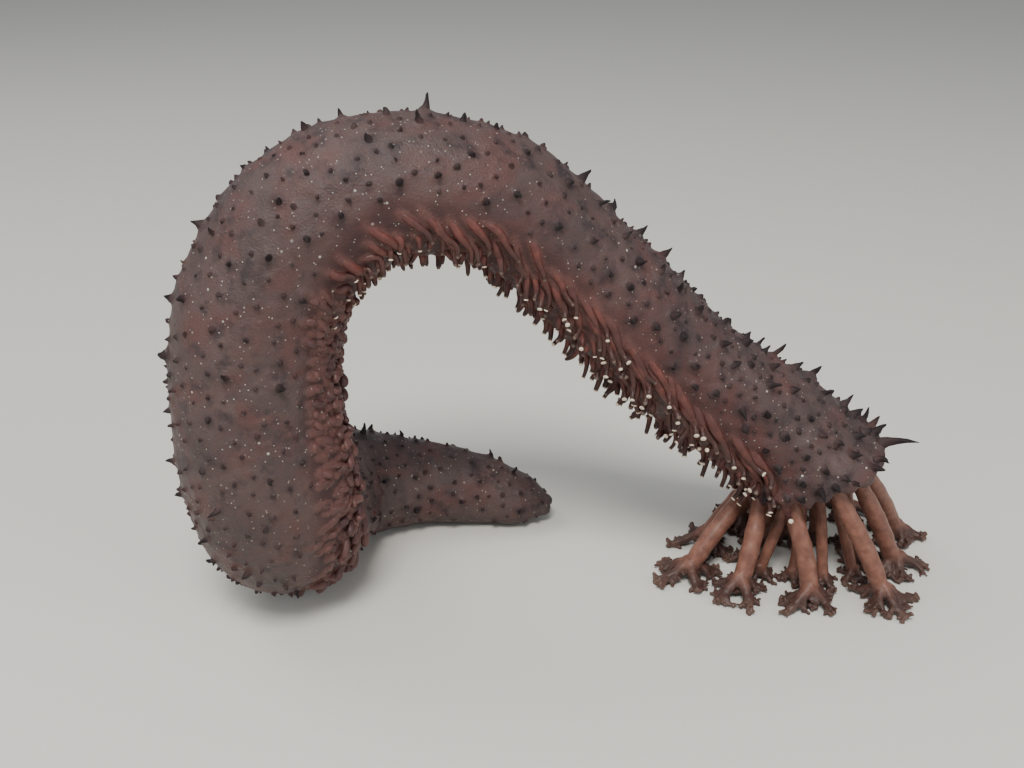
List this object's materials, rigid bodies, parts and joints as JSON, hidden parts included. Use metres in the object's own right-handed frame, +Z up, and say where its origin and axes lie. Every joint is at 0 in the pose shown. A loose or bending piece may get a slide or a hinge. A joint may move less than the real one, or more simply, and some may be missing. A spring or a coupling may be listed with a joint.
{
  "type": "sea cucumber",
  "caption": "Life-size sea cucumber, still: its body lies on the floor, rises in an arch and comes down to a mouth with tentacles spread on the floor.",
  "frame": {"origin": "the point of the floor under the foot of the arch, in the middle of the small flat there", "axes": "+X from the foot of the arch towards the head, +Y away from the side shown in the picture, +Z up"},
  "size_m": [0.1955, 0.0855, 0.1287],
  "materials": {
    "body_skin": "wet maroon-brown skin, satin, with near-black papillae and red-brown tube feet",
    "head_skin": "wet dark maroon-brown skin, satin, with near-black papillae",
    "mouth_skin": "wet, very dark brown, smooth",
    "tentacle_skin": "wet, orange-brown stalks with darker branched crowns"
  },
  "bodies": {
    "root": {"hind_end": "body_skin", "hind_body": "body_skin", "foot_hind": "body_skin", "foot_fore": "body_skin", "rise_lower": "body_skin", "rise_upper": "body_skin", "arch_hind": "body_skin", "arch_fore": "body_skin", "fall_upper": "body_skin", "fall_lower": "body_skin", "head": "head_skin", "mouth": "mouth_skin", "tentacle_outer_01": "tentacle_skin", "tentacle_outer_02": "tentacle_skin", "tentacle_outer_03": "tentacle_skin", "tentacle_outer_04": "tentacle_skin", "tentacle_outer_05": "tentacle_skin", "tentacle_outer_06": "tentacle_skin", "tentacle_outer_07": "tentacle_skin", "tentacle_outer_08": "tentacle_skin", "tentacle_outer_09": "tentacle_skin", "tentacle_outer_10": "tentacle_skin", "tentacle_inner_01": "tentacle_skin", "tentacle_inner_02": "tentacle_skin", "tentacle_inner_03": "tentacle_skin", "tentacle_inner_04": "tentacle_skin", "tentacle_inner_05": "tentacle_skin", "tentacle_inner_06": "tentacle_skin", "tentacle_inner_07": "tentacle_skin", "tentacle_inner_08": "tentacle_skin", "tentacle_inner_09": "tentacle_skin", "tentacle_inner_10": "tentacle_skin"}
  },
  "joints": []
}
